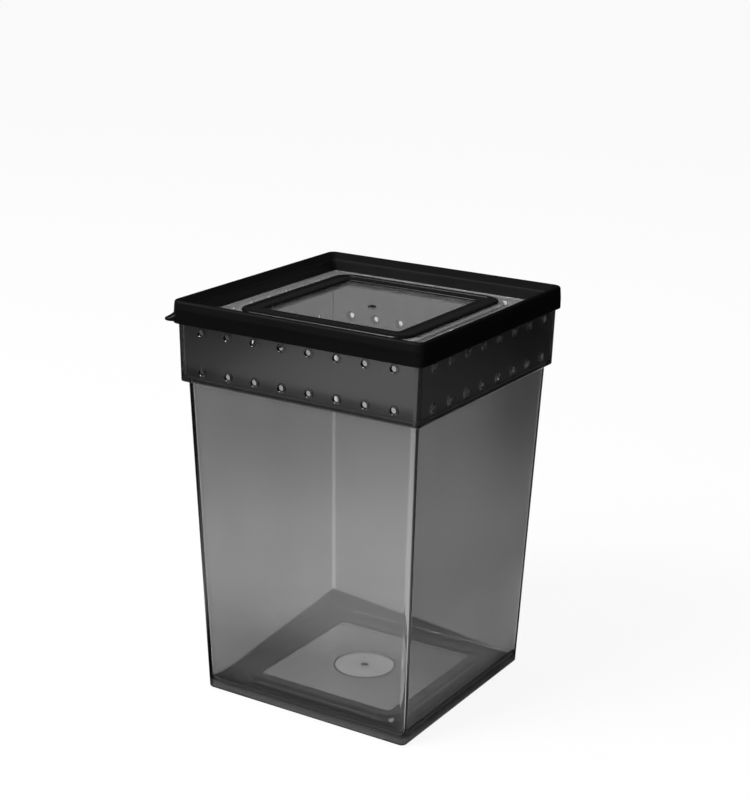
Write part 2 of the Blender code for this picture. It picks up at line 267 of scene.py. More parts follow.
def square_form_tree():
    """Turns a row of stations into a square form: each station becomes a ring with four rounded corners."""
    tree, given = open_tree(
        "square form",
        {
            "Stations": "Geometry",
            "Corner steps": "Int",
            "Lip spread": "Float",
            "Merge distance": "Float",
            "Finish": "Material",
        },
        "Form",
    )

    def node(kind, inputs=(), **settings):
        return tree_node(tree, kind, inputs, **settings)

    quarter_points = given["Corner steps"] + 1.0
    around = quarter_points * 4.0
    columns = around + 1.0
    rings = node("GeometryNodeAttributeDomainSize", {0: given["Stations"]}).outputs["Point Count"]
    sheet = node(
        "GeometryNodeMeshGrid",
        {"Size X": 1.0, "Size Y": 1.0, "Vertices X": rings, "Vertices Y": columns},
    ).outputs["Mesh"]
    index = Field(node("GeometryNodeInputIndex").outputs[0])
    ring = math_node("FLOOR", (index + 0.5) / columns)
    column = index - ring * columns
    place = math_node("FLOORED_MODULO", column, around)
    quarter = math_node("FLOOR", (place + 0.5) / quarter_points)
    step = place - quarter * quarter_points
    right = math.pi / 2
    angle = (quarter + step / given["Corner steps"]) * right
    middle = (quarter + 0.5) * right

    def sampled(value, kind):
        taken = {"Geometry": given["Stations"], "Value": value, "Index": ring}
        return node("GeometryNodeSampleIndex", taken, data_type=kind).outputs[0]

    def sampled_size(name):
        stored = node("GeometryNodeInputNamedAttribute", {"Name": name}, data_type="FLOAT")
        return Field(sampled(stored.outputs["Attribute"], "FLOAT"))

    spot = node("GeometryNodeInputPosition").outputs[0]
    half, _, height = parts_of(tree, sampled(spot, "FLOAT_VECTOR"))
    corner = sampled_size("corner")
    off = abs(angle - middle) / given["Lip spread"]
    tongue = math_node("COSINE", smallest(off, 1.0) ** 2.0 * right)
    lip_quarter = math_node("COMPARE", quarter, 2.0, 0.1)
    drawn = sampled_size("pull") * tongue * lip_quarter
    arm = (half - corner) * math.sqrt(2) + drawn
    x = math_node("COSINE", angle) * corner + arm * math_node("COSINE", middle)
    y = math_node("SINE", angle) * corner + arm * math_node("SINE", middle)
    target = node("ShaderNodeCombineXYZ", {"X": x, "Y": y, "Z": height}).outputs[0]
    moved = node("GeometryNodeSetPosition", {"Geometry": sheet, "Position": target}).outputs[0]
    closed = {"Geometry": moved, "Distance": given["Merge distance"]}
    joined = node("GeometryNodeMergeByDistance", closed).outputs[0]
    return close_tree(tree, joined, given["Finish"], "Form")


square_form = square_form_tree()


def set_inputs(modifier, values):
    """Inputs of a Geometry Nodes modifier, set by their sockets' identifiers."""
    for item in modifier.node_group.interface.items_tree:
        if item.in_out == "INPUT" and item.name in values:
            modifier[item.identifier] = values[item.name]


def made_plain(holder, name):
    """The evaluated shape of holder as a plain object at the origin, all in one material. holder goes."""
    bpy.context.view_layer.update()
    shape = bpy.data.meshes.new_from_object(holder.evaluated_get(bpy.context.evaluated_depsgraph_get()))
    shape.name = name
    finish = [entry for entry in shape.materials if entry]
    shape.materials.clear()
    for entry in finish[:1]:
        shape.materials.append(entry)
    shape.polygons.foreach_set("material_index", [0] * len(shape.polygons))
    bpy.data.objects.remove(holder)
    plain = bpy.data.objects.new(name, shape)
    bpy.context.collection.objects.link(plain)
    return plain


def turn_faces_out(piece):
    """Faces of a closed form pointing outwards."""
    shape = bmesh.new()
    shape.from_mesh(piece.data)
    bmesh.ops.dissolve_degenerate(shape, dist=0.0002 * mm, edges=shape.edges)
    bmesh.ops.recalc_face_normals(shape, faces=shape.faces)
    shape.to_mesh(piece.data)
    shape.free()


def square_piece(name, stations, finish, corner_steps, lip_spread=45):
    """A square form from its stations, in millimetres."""
    row = bpy.data.meshes.new(name + " stations")
    row.from_pydata([(half * mm, 0, height * mm) for half, height, _, _ in stations], [], [])
    corner = row.attributes.new("corner", "FLOAT", "POINT")
    pull = row.attributes.new("pull", "FLOAT", "POINT")
    for i, (_, _, radius, reach) in enumerate(stations):
        corner.data[i].value = radius * mm
        pull.data[i].value = reach * mm
    holder = bpy.data.objects.new(name + " holder", row)
    bpy.context.collection.objects.link(holder)
    modifier = holder.modifiers.new("square form", "NODES")
    modifier.node_group = square_form
    set_inputs(
        modifier,
        {
            "Corner steps": corner_steps,
            "Lip spread": math.radians(lip_spread),
            "Merge distance": 0.0005 * mm,
            "Finish": finish,
        },
    )
    piece = made_plain(holder, name)
    turn_faces_out(piece)
    return piece


def polished(piece, body, node):
    """Smooth shading that keeps the flat walls flat, and the piece's place in the model."""
    piece.data.shade_smooth()
    piece.data.set_sharp_from_angle(angle=math.radians(50))
    weighted = piece.modifiers.new("flat walls stay flat", "WEIGHTED_NORMAL")
    weighted.mode = "FACE_AREA"
    weighted.weight = 80
    weighted.keep_sharp = True
    name = piece.name
    piece.name = name + " rough"
    done = made_plain(piece, name)
    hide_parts(node)
    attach(done, body)
    return done


def shader_of(name):
    """A new material with its node tree, its Principled shader and its output."""
    made = bpy.data.materials.new(name)
    made.use_nodes = True
    tree = made.node_tree
    return made, tree, tree.nodes["Principled BSDF"], tree.nodes["Material Output"]


def blended(share, low, high):
    """Mix of two numbers, each plain or a field, by a share that is a field."""
    inputs = {0: share, 2: low, 3: high}
    return Field(tree_node(share.socket.id_data, "ShaderNodeMix", inputs, data_type="FLOAT").outputs[0])


def stepped(value, low, high, first=0.0, last=1.0):
    """Smooth change from first to last as value goes from low to high."""
    inputs = {"Value": value, 1: low, 2: high, 3: first, 4: last}
    tree = value.socket.id_data
    return Field(tree_node(tree, "ShaderNodeMapRange", inputs, interpolation_type="SMOOTHSTEP").outputs[0])


def noise_of(tree, spot, scale, detail, stretch=(1, 1, 1)):
    """Noise on Object coordinates, stretched along an axis where the pattern runs."""
    stretched = tree_node(tree, "ShaderNodeMapping", {"Vector": spot, "Scale": stretch}).outputs[0]
    inputs = {"Vector": stretched, "Scale": scale, "Detail": detail}
    return Field(tree_node(tree, "ShaderNodeTexNoise", inputs).outputs[0])


def off_axis(tree, spot):
    """Distance of a point from the box's axis."""
    flat = tree_node(tree, "ShaderNodeVectorMath", {0: spot, 1: (1, 1, 0)}, operation="MULTIPLY").outputs[0]
    return Field(tree_node(tree, "ShaderNodeVectorMath", {0: flat}, operation="LENGTH").outputs["Value"])


def grey_of(tree, value):
    return tree_node(tree, "ShaderNodeCombineColor", {0: value, 1: value, 2: value}).outputs[0]


def bump_of(tree, relief, strength, depth):
    """Normals of a surface with a fine relief, at most depth high."""
    inputs = {"Height": relief, "Strength": strength, "Distance": depth}
    return tree_node(tree, "ShaderNodeBump", inputs).outputs[0]


def fill_with_haze(tree, out):
    """A faint grey haze through the thickness of a clear plastic."""
    haze = tree_node(tree, "ShaderNodeVolumeAbsorption", {"Color": (0.5, 0.5, 0.5, 1), "Density": 60.0})
    feed(out, {"Volume": haze.outputs[0]})


def places_on_tub(tree, spot):
    """Fields that tell where a point of the tub lies, as sizes or as a share from 0 to 1."""
    at = SimpleNamespace()
    at.x, at.y, at.height = parts_of(tree, spot)
    x, y = abs(at.x), abs(at.y)
    at.on_x_wall = x > y
    at.square = largest(x, y)
    at.soft_square = math_node("SMOOTH_MAX", x, y, 3.0 * mm)
    at.along = smallest(x, y)
    at.off_axis = off_axis(tree, spot)
    at.to_right = at.x + at.y
    at.to_back_left = at.y - at.x

    body_side = at.height * (body_flare / step_height) + (foot_half - wall / 2) * mm
    collar_lean = collar_flare / (mouth_height - step_height)
    collar_side = (at.height - step_height * mm) * collar_lean + (collar_foot_half - wall / 2) * mm
    over_step = at.height > (step_height + wall / 2) * mm
    side = blended(over_step, body_side, collar_side)
    over_foot = at.square > (platform_half - wall / 2) * mm
    level = blended(over_foot, (platform_rise + 0.6) * mm, floor_thickness / 2 * mm)
    at.inside = (side > at.square) * (at.height > level)
    at.outside = 1.0 - at.inside
    at.to_corner = side - at.along

    at.collar = stepped(at.height, (step_height - 0.3) * mm, (step_height + 0.2) * mm)
    # painted shade: a dark band at the foot of the collar, over the step
    at.hem = at.collar * stepped(at.height, (step_height + 0.3) * mm, (step_height + 1.2) * mm, 1.0, 0.0)
    at.sole = stepped(at.height, 0.5 * mm, 1.1 * mm, 1.0, 0.0) * over_foot
    at.slab = (at.square < slab_half * mm) * (at.height < slab_top * mm)
    off_middle = abs(side - at.square)
    holed = (at.along < holed_half * mm) * (at.height > holed_foot * mm)
    at.in_hole = stepped(off_middle, (wall / 2 - 0.11) * mm, (wall / 2 - 0.02) * mm, 1.0, 0.0) * holed
    return at


def wall_tone(at):
    """Share of light through the walls. The body darkens upwards, and the photographed corners differ:
    painted highlights lighten the body's corners and painted shade darkens the collar's corners. Painted
    shade also darkens the right wall towards its back top and a band at the foot of the collar.
    """
    body = stepped(at.height, 70.0 * mm, 118.0 * mm, low_body_tone, high_body_tone)
    # painted shade on the right wall, towards its back top
    right_top_shade = stepped(at.x * at.on_x_wall, 0.0, 1.0 * mm) * stepped(at.y, -20.0 * mm, 30.0 * mm)
    right_top_shade = right_top_shade * stepped(at.height, 60.0 * mm, 112.0 * mm, 0.0, 0.6)
    tone = blended(at.collar, body * (1.0 - right_top_shade), collar_tone)
    tone = blended(at.hem, tone, hem_tone)
    # painted highlight along the body's corners, most on the near and back ones; painted shade along the
    # collar's corners on the X walls
    side_corner = (at.x * at.y < 0.0) * 0.9 + 0.1
    corner_highlight = stepped(at.to_corner, 1.4 * mm, 2.2 * mm, 1.0, 0.0) * side_corner * 0.7
    corner_shade = at.on_x_wall * stepped(at.to_corner, 1.3 * mm, 1.9 * mm, -0.9, 0.0)
    return tone * (blended(at.collar, corner_highlight, corner_shade) + 1.0)


def floor_tone(at):
    """Share of light through the cove and the floor. Painted shade darkens the cove, the slab, the platform's
    border and a ring round the disc; painted light lightens the raised field and the disc. Its middle field
    lightens to the left and the front.
    """
    field = stepped(at.to_right, -45.0 * mm, 45.0 * mm, lit_field_tone, shaded_field_tone)
    field = field + stepped(at.to_back_left, 0.0, -50.0 * mm, 0.0, near_field_light_gain)
    cove = stepped(at.x, 25.0 * mm, 40.0 * mm, cove_shade_tone, shaded_cove_tone)
    platform = stepped(at.soft_square, 31.3 * mm, 31.8 * mm, 1.0, 0.0)
    disc = stepped(at.off_axis, (gate_radius - 0.1) * mm, (gate_radius + 0.3) * mm, 1.0, 0.0)
    stub = stepped(at.off_axis, (gate_stub_radius - 0.2) * mm, (gate_stub_radius + 0.3) * mm, 1.0, 0.0)
    tone = blended(at.slab, cove, slab_shade_tone)
    for share, inner_tone in (
        (platform, platform_shade_tone),
        (stepped(at.soft_square, 30.3 * mm, 30.7 * mm) * platform, platform_edge_shade_tone),
        (stepped(at.soft_square, 27.2 * mm, 28.2 * mm, 1.0, 0.0), field),
        (disc, lit_disc_tone),
        (stepped(at.off_axis, (gate_radius - 0.7) * mm, (gate_radius - 0.4) * mm) * disc, disc_rim_shade_tone),
        (stub, stub_tone),
    ):
        tone = blended(share, tone, inner_tone)
    return tone


def smoky_plastic():
    """Smoky styrene. The skin outside is clear and the tint lies inside, so the solid corners read light,
    helped by a painted highlight on the body's corners. Painted shade darkens the foot, the sole, a band
    along the left corner and the sides of the vent holes.
    """
    made, tree, shader, out = shader_of("smoky tub plastic")
    spot = tree_node(tree, "ShaderNodeTexCoord").outputs["Object"]
    at = places_on_tub(tree, spot)
    # Below a plane that climbs to the back left, and in the slab, the floor's painted shade and light take
    # the place of the wall's tone
    over_shade = at.height - (at.to_back_left * shade_climb + shade_height * mm)
    foot = largest(stepped(over_shade, -0.4 * mm, 0.8 * mm, 1.0, 0.0), at.slab)
    flow = noise_of(tree, spot, 34.0, 4.0, (1, 1, 0.35))
    cloud = noise_of(tree, spot, 14.0, 2.0)
    tone = blended(foot, wall_tone(at), floor_tone(at)) * ((flow + cloud) * 0.36 + 0.64)

    # painted shade on the skin at the foot and on the sole
    body_skin = stepped(at.height, 3.0 * mm, 13.0 * mm, foot_shade_skin_tone, body_skin_tone)
    skin = blended(at.collar, body_skin, collar_skin_tone)
    skin = blended(at.slab, skin, floor_skin_tone)
    skin = blended(at.sole, skin, sole_shade_tone)
    tint = blended(at.inside, skin, tone**2.0 / skin)
    # painted shade along the left corner
    left_edge_shade = (at.to_right < -78.0 * mm) * stepped(at.to_corner, 1.45 * mm, 1.75 * mm, 1.0, 0.0)
    tint = blended(left_edge_shade * (1.0 - at.collar) * at.outside, tint, left_edge_shade_tone)
    # painted shade on the sides of the vent holes, deeper in the Y walls
    tint = blended(at.in_hole, tint, blended(at.on_x_wall, y_wall_hole_shade_tone, x_wall_hole_shade_tone))

    smudge = noise_of(tree, spot, 60.0, 6.0)
    gloss = blended(at.inside, collar_roughness, collar_inner_roughness)
    gloss = blended(at.collar, body_roughness, gloss)
    gloss = blended(at.sole, smudge * 0.03 + gloss, sole_roughness)

    clear = blended(at.outside * (1.0 - at.collar), clearness, body_skin_clearness)
    rubbed = at.outside * stepped(at.height, 2.0 * mm, 4.6 * mm, 1.0, 0.0)

    wave = noise_of(tree, spot, 22.0, 1.0, (1, 1, 0.4))
    peel = noise_of(tree, spot, 900.0, 2.0)
    feed(
        shader,
        {
            "Base Color": grey_of(tree, tint),
            "Roughness": gloss,
            "Transmission Weight": blended(rubbed, clear, rubbed_foot_clearness),
            "Normal": bump_of(tree, peel * 0.008 + wave * 6.0, 0.25, 0.02 * mm),
            "IOR": 1.50,
            "Coat Weight": at.outside * (1.0 - at.in_hole),
            "Coat Roughness": 0.03,
        },
    )
    fill_with_haze(tree, out)
    return made


shelf = step_height + wall
field_edge = field_half + field_slope
field_edge_corner = field_corner + field_slope
field_underside = platform_rise - field_sink
hollow = platform_half - floor_thickness
hollow_corner = platform_corner - floor_thickness
platform_top = floor_thickness + platform_rise
tub_path = [
    (0, field_underside, 0, 0, 0),
    (field_half, field_underside, field_corner, fine_round, 0),
    (field_edge, platform_rise, field_edge_corner, fine_round, 0),
    (hollow, platform_rise, hollow_corner, edge_round, 0),
    (hollow, 0, hollow_corner, edge_round, 0),
    (body_half(0), 0, tub_corner, foot_round, 0),
    (body_half(step_height), step_height, tub_corner, step_round, 0),
    (collar_foot_half, step_height, tub_corner, edge_round, 0),
    (collar_half(mouth_height), mouth_height, tub_corner, edge_round, 0),
    (collar_half(mouth_height) - wall, mouth_height, tub_inner_corner, edge_round, 0),
    (collar_half(shelf) - wall, shelf, tub_inner_corner, fine_round, 0),
    (body_half(shelf) - wall, shelf, tub_inner_corner, edge_round, 0),
    (body_half(floor_thickness) - wall + 0.15, floor_thickness, tub_inner_corner, cove_radius, 0),
    (platform_half, floor_thickness, platform_corner, fine_round, 0),
    (platform_half, platform_top, platform_corner, edge_round, 0),
    (field_edge, platform_top, field_edge_corner, fine_round, 0),
    (field_half, platform_top - field_sink, field_corner, fine_round, 0),
    (0, platform_top - field_sink, 0, 0, 0),
]
smoky = smoky_plastic()
tub = square_piece("smoky_tub", soften(tub_path, closed=False), smoky, corner_steps=12)


# Vent holes
# Two rows of eight moulded holes in each side of the collar, 11 mm apart. A soft round leads from 3 mm at the
# skin to the throat, and the hole opens again inwards. One drill is made, stood on the rows and cut out.

vent_throat = 2.0
vent_rim_round = 0.55
vent_inward_flare = 0.7
vents_per_row = 8
row_end = 38.5
vent_rows = (121.9, 135.9)


def vent_tree():
    """Rows of drills through the collar's sides. A drill flares where it leaves the wall, and inwards."""
    sizes = (
        "Row end",
        "Low row",
        "High row",
        "Low wall middle",
        "High wall middle",
        "Hole radius",
        "Rim round",
        "Inward flare",
        "Wall",
    )
    inputs = {"Start": "Geometry", "Holes per row": "Int", "Sides": "Int"}
    inputs.update({size: "Float" for size in sizes})
    tree, given = open_tree("vent rows", {**inputs, "Finish": "Material"}, "Drills")

    def node(kind, inputs=(), **settings):
        return tree_node(tree, kind, inputs, **settings)

    length = given["Wall"] * 1.6
    drill = node(
        "GeometryNodeMeshCylinder",
        {"Vertices": given["Sides"], "Side Segments": 24, "Radius": 1.0, "Depth": length},
        fill_type="NGON",
    ).outputs["Mesh"]
    spot = node("GeometryNodeInputPosition").outputs[0]
    _, _, depth = parts_of(tree, spot)
    round_start = given["Wall"] * 0.5 - given["Rim round"]
    past = smallest(largest(abs(depth) - round_start, 0.0), given["Rim round"] * 0.999)
    flare = given["Rim round"] - math_node("SQRT", given["Rim round"] ** 2.0 - past**2.0)
    inward = largest(depth * -1.0, 0.0) * given["Inward flare"]
    wide = given["Hole radius"] + flare + inward
    size = node("ShaderNodeCombineXYZ", {"X": wide, "Y": wide, "Z": 1.0}).outputs[0]
    shaped = node("ShaderNodeVectorMath", {0: spot, 1: size}, operation="MULTIPLY").outputs[0]
    drill = node("GeometryNodeSetPosition", {"Geometry": drill, "Position": shaped}).outputs[0]

    grid = node(
        "GeometryNodeMeshGrid",
        {"Size X": 2.0, "Size Y": 1.0, "Vertices X": given["Holes per row"], "Vertices Y": 2},
    ).outputs["Mesh"]
    points = node("GeometryNodeMeshToPoints", {"Mesh": grid}).outputs[0]
    copied = node("GeometryNodeDuplicateElements", {"Geometry": points, "Amount": 4}, domain="POINT")
    turn = Field(copied.outputs["Duplicate Index"]) * (math.pi / 2)
    along, row, _ = parts_of(tree, node("GeometryNodeInputPosition").outputs[0])
    high = row + 0.5
    out = blended(high, given["Low wall middle"], given["High wall middle"]) * -1.0
    up = blended(high, given["Low row"], given["High row"])
    place = node("ShaderNodeCombineXYZ", {"X": along * given["Row end"], "Y": out, "Z": up}).outputs[0]
    turning = {"Vector": place, "Angle": turn}
    turned = node("ShaderNodeVectorRotate", turning, rotation_type="Z_AXIS").outputs[0]
    stood = node("GeometryNodeSetPosition", {"Geometry": copied.outputs[0], "Position": turned}).outputs[0]
    lean = node("ShaderNodeCombineXYZ", {"X": math.pi / 2, "Y": 0.0, "Z": turn}).outputs[0]
    stands = {"Points": stood, "Instance": drill, "Rotation": lean}
    rows = node("GeometryNodeInstanceOnPoints", stands).outputs[0]
    return close_tree(tree, rows, given["Finish"], "Drills")


def cut(piece, tool, operation="DIFFERENCE"):
    """piece with tool's shape cut out of it or joined to it, as a plain mesh."""
    name = piece.name
    modifier = piece.modifiers.new("cut", "BOOLEAN")
    modifier.operation = operation
    modifier.solver = "EXACT"
    modifier.object = tool
    piece.name = name + " uncut"
    done = made_plain(piece, name)
    bpy.data.objects.remove(tool)
    return done


drill_holder = bpy.data.objects.new("drill holder", bpy.data.meshes.new("drill start"))
bpy.context.collection.objects.link(drill_holder)
drill_rows = drill_holder.modifiers.new("vent rows", "NODES")
drill_rows.node_group = vent_tree()
set_inputs(
    drill_rows,
    {
        "Holes per row": vents_per_row,
        "Sides": 32,
        "Row end": row_end * mm,
        "Low row": vent_rows[0] * mm,
        "High row": vent_rows[1] * mm,
        "Low wall middle": (collar_half(vent_rows[0]) - wall / 2) * mm,
        "High wall middle": (collar_half(vent_rows[1]) - wall / 2) * mm,
        "Hole radius": vent_throat / 2 * mm,
        "Rim round": vent_rim_round * mm,
        "Inward flare": vent_inward_flare,
        "Wall": wall * mm,
        "Finish": smoky,
    },
)
tub = cut(tub, made_plain(drill_holder, "vent drills"))


# Gate mark of the tub
# The melt entered through the middle of the floor. A shallow round sink under the floor, 23 mm across, keeps
# the broken sprue clear of the table, and a stub of the sprue stands in its middle.

gate_sink = 0.4
gate_ceiling = field_underside + gate_sink
gate_path = [
    (gate_stub_radius - 0.15, field_underside - 0.6),
    (gate_stub_radius, field_underside - 0.1),
    (gate_stub_radius + 0.05, gate_ceiling - 0.12),
    (gate_stub_radius + 0.2, gate_ceiling),
    (gate_radius - 0.15, gate_ceiling),
    (gate_radius, gate_ceiling - 0.12),
    (gate_radius + 0.05, field_underside - 0.1),
    (gate_radius + 0.3, field_underside - 0.6),
]


def turned_piece(name, path, sides):
    """A closed form turned about the box's axis from a loop of (radius, height) points.

    Points on the axis become one, so a loop that starts and ends there makes a solid and not a ring.
    """
    shape = bmesh.new()
    rings = []
    for radius, height in path:
        ring = []
        for i in range(sides):
            angle = 2 * math.pi * i / sides
            spot = (radius * mm * math.cos(angle), radius * mm * math.sin(angle), height * mm)
            ring.append(shape.verts.new(spot))
        rings.append(ring)
    for low, high in zip(rings, rings[1:] + rings[:1]):
        for i in range(sides):
            shape.faces.new((low[i - 1], low[i], high[i], high[i - 1]))
    bmesh.ops.remove_doubles(shape, verts=shape.verts, dist=0.001 * mm)
    bmesh.ops.dissolve_degenerate(shape, dist=0.0005 * mm, edges=shape.edges)
    bmesh.ops.recalc_face_normals(shape, faces=shape.faces)
    made = bpy.data.meshes.new(name)
    shape.to_mesh(made)
    shape.free()
    piece = bpy.data.objects.new(name, made)
    bpy.context.collection.objects.link(piece)
    return piece


tub = cut(tub, turned_piece("gate sink", gate_path, sides=96))
tub = polished(tub, "tub", "tub")


# Lid frame
# A near-black moulding that drops over the mouth like an upturned channel: a skirt outside, a rim with a soft
# crest that falls inwards, and a wall down into the recess with a ledge for the panel. One corner of the
# skirt is drawn out into a lip for the thumb.

lid_top = 146.3
lid_half = 50.2
skirt_foot = 138.2
skirt_inner = 49.15
skirt_inner_corner = 2.2
lid_corner = 3.2
recess_half = 45.45
recess_foot_half = 45.15
recess_corner = 1.4
recess_wall = 1.1
recess_edge_round = 0.6
ledge_top = 138.4
ledge_foot = 137.5
ledge_width = 1.1
ledge_round = 0.2
crest_half = 49.0
crest_round = 1.0
rim_fall = 2.2
rim_slope = rim_fall / (crest_half - recess_half)
roof_wall = 1.5
lip_low = 139.3
lit_recess_tone = 0.012

# Heights above the lip's foot, and how far the corner is drawn out there
lip_profile = (
    (-0.35, 0),
    (-0.15, 2.4),
    (0, 2.85),
    (0.2, 3.05),
    (0.5, 3.1),
    (0.8, 2.95),
    (1.0, 2.6),
    (1.3, 1.9),
    (1.7, 1.1),
    (2.1, 0.45),
    (2.6, 0),
)


def near_black_plastic(name, tone, gloss, shine):
    """Near-black styrene with a soft gloss, duller on the rim. Painted light makes the recess's walls a shade
    lighter, for the light that comes through them.
    """
    made, tree, shader, _ = shader_of(name)
    spot = tree_node(tree, "ShaderNodeTexCoord").outputs["Object"]
    x, y, height = parts_of(tree, spot)
    square = largest(abs(x), abs(y))
    recess = stepped(square, 45.5 * mm, 45.8 * mm, 1.0, 0.0) * stepped(square, 34.9 * mm, 35.0 * mm)
    patchy = noise_of(tree, spot, 45.0, 5.0) * 0.5 + 0.75
    smudge = noise_of(tree, spot, 90.0, 8.0) * 0.14
    peel = noise_of(tree, spot, 1100.0, 3.0)
    feed(
        shader,
        {
            # painted light on the recess's walls
            "Base Color": grey_of(tree, blended(recess, tone, lit_recess_tone) * patchy),
            "Roughness": smudge + stepped(height, 143.0 * mm, 143.5 * mm, gloss - 0.07, 0.55),
            "Normal": bump_of(tree, peel, 0.3, 0.02 * mm),
            "IOR": 1.50,
            "Specular IOR Level": shine,
            "Transmission Weight": 0.2,
        },
    )
    return made


def channel_roof(half):
    return lid_top - roof_wall - rim_slope * (crest_half - half)


lid_path = [(lid_half, skirt_foot, lid_corner, step_round, 0)]
lid_path += [(lid_half, lip_low + rise, lid_corner, 0, pull) for rise, pull in lip_profile]
for turn in range(0, 121, 12):
    out = crest_round * math.cos(math.radians(turn))
    rise = crest_round * math.sin(math.radians(turn))
    lid_path.append((crest_half + out, lid_top - crest_round + rise, lid_corner - crest_round + out, 0, 0))
recess_back_corner = recess_corner + recess_wall
recess_back = recess_half + recess_wall
lid_path += [
    (recess_half, lid_top - rim_fall, recess_corner, recess_edge_round, 0),
    (recess_foot_half, ledge_top, recess_corner, ledge_round, 0),
    (recess_foot_half - ledge_width, ledge_top, recess_corner, ledge_round, 0),
    (recess_foot_half - ledge_width, ledge_foot, recess_corner, ledge_round, 0),
    (recess_foot_half + recess_wall, ledge_foot, recess_back_corner, fine_round, 0),
    (recess_back, channel_roof(recess_back), recess_back_corner, fine_round, 0),
    (skirt_inner, channel_roof(skirt_inner), skirt_inner_corner, fine_round, 0),
    (skirt_inner, skirt_foot, skirt_inner_corner, step_round, 0),
]
lid_black = near_black_plastic("near-black lid plastic", tone=0.003, gloss=0.36, shine=0.04)
lid = square_piece("lid_rim", soften(lid_path, closed=True), lid_black, corner_steps=24)
polished(lid, "lid", "lid_frame")


# Lid panel
# A clear, lightly smoked plate bonded on the frame's ledge, with a square opening for the hatch and a low
# raised land round it.

panel_half = 44.85
panel_foot = 138.7
panel_top = 140.2
panel_round = 0.15
land_half = 36.5
land_top = 141.1
land_corner = 8.1
opening_half = 30.6
opening_corner = 2.2


def clear_plastic(name, tone, gloss, clear):
    """Lightly smoked clear styrene with polishing marks, smears and fine scratches. A gate stub is dark."""
    made, tree, shader, out = shader_of(name)
    spot = tree_node(tree, "ShaderNodeTexCoord").outputs["Object"]
    _, _, height = parts_of(tree, spot)
    smears = noise_of(tree, spot, 26.0, 3.0) * 0.16 + 0.92
    stub = stepped(off_axis(tree, spot), 1.5 * mm, 1.8 * mm, 1.0, 0.0)
    stub = stub * stepped(height, 141.0 * mm, 141.2 * mm)
    smudge = noise_of(tree, spot, 70.0, 6.0) * 0.02
    scratch = noise_of(tree, spot, 160.0, 2.0, (1, 14, 1)) * 0.01
    wave = noise_of(tree, spot, 40.0, 2.0)
    feed(
        shader,
        {
            "Base Color": grey_of(tree, blended(stub, smears * tone, 0.01)),
            "Roughness": scratch + smudge + (gloss - 0.014),
            "Normal": bump_of(tree, wave, 0.2, 0.03 * mm),
            "IOR": 1.50,
            "Specular IOR Level": 0.35,
            "Transmission Weight": blended(stub, clear, 0.5),
        },
    )
    fill_with_haze(tree, out)
    return made


panel_path = [
    (panel_half, panel_foot, recess_corner, panel_round, 0),
    (panel_half, panel_top, recess_corner, panel_round, 0),
    (land_half, panel_top, land_corner, fine_round, 0),
    (land_half, land_top, land_corner, fine_round, 0),
    (opening_half, land_top, opening_corner, panel_round, 0),
    (opening_half, panel_foot, opening_corner, panel_round, 0),
]
panel_clear = clear_plastic("clear panel plastic", tone=0.97, gloss=0.015, clear=0.86)
panel = square_piece("lid_plate", soften(panel_path, closed=True), panel_clear, corner_steps=12)
polished(panel, "lid", "lid_panel")


# Hatch frame
# A near-black ring that rests on the land round the opening: a round outer bead, a shallow groove and a
# smaller inner bead, bonded flat on the border of the clear window.

hatch_half = 34.6
hatch_corner = 6.6
hatch_foot = 141.4
hatch_top = 142.5
sight_half = 27.25
sight_corner = 0.9
outer_bead = 2.2
inner_bead = 2.0
groove = 0.4
bead_side = 0.2
sight_side = 0.35


def bead_stations(outer_edge, inner_edge, corner, low_out, top, low_in, steps=10):
    """Stations over one round bead, from its outer to its inner edge. corner is the outer edge's radius."""
    points = []
    for i in range(steps + 1):
        angle = math.pi * i / steps
        half = (outer_edge + inner_edge) / 2 + (outer_edge - inner_edge) / 2 * math.cos(angle)
        low = low_out if angle < math.pi / 2 else low_in
        height = low + (top - low) * math.sin(angle)
        points.append((half, height, corner + half - outer_edge, 0))
    return points


groove_level = hatch_top - groove
inner_edge = sight_half + inner_bead
inner_corner = sight_corner + inner_bead
ring = bead_stations(
    hatch_half, hatch_half - outer_bead, hatch_corner, hatch_foot + bead_side, hatch_top, groove_level
)
ring += bead_stations(
    inner_edge, sight_half, inner_corner, groove_level, hatch_top - groove / 2, hatch_foot + sight_side
)
ring += [
    (sight_half, hatch_foot, sight_corner, 0),
    (hatch_half - bead_side, hatch_foot, hatch_corner - bead_side, 0),
]
ring.append(ring[0])
hatch_black = near_black_plastic("near-black hatch plastic", tone=0.004, gloss=0.26, shine=0.25)
hatch = square_piece("hatch_ring", ring, hatch_black, corner_steps=20)
polished(hatch, "hatch", "hatch_frame")


# Hatch window
# A clear pane under the ring, with a short wall turned down all round it that plugs the opening. The sprue
# was twisted off its middle, which left a low round pad with a ragged stub.

window_foot = 140.3
window_top = 141.1
plug_half = 30.2
plug_inner = 28.9
plug_foot = 138.2
plug_draft = 0.2
plug_corner = 1.8
plug_inner_corner = 0.5
window_path = [
    (0, window_foot, 0, 0, 0),
    (plug_inner, window_foot, plug_inner_corner, fine_round, 0),
    (plug_inner, plug_foot, plug_inner_corner, 0.15, 0),
    (plug_half - plug_draft, plug_foot, plug_corner, fine_round, 0),
    (plug_half, window_top, plug_corner, 0.12, 0),
    (0, window_top, 0, 0, 0),
]
window_clear = clear_plastic("clear window plastic", tone=0.86, gloss=0.015, clear=0.97)
window = square_piece("hatch_pane", soften(window_path, closed=False), window_clear, corner_steps=8)

# Radius of the pad and its stub, and the height above the pane
pad_profile = (
    (0, -0.1),
    (1.5, -0.1),
    (1.5, 0.12),
    (1.4, 0.24),
    (1.2, 0.3),
    (0.5, 0.3),
    (0.45, 0.5),
    (0.3, 0.66),
    (0.15, 0.7),
    (0, 0.7),
)
pad_path = [(radius, window_top + rise) for radius, rise in pad_profile]
window = cut(window, turned_piece("gate pad", pad_path, sides=32), "UNION")
polished(window, "hatch", "hatch_window")


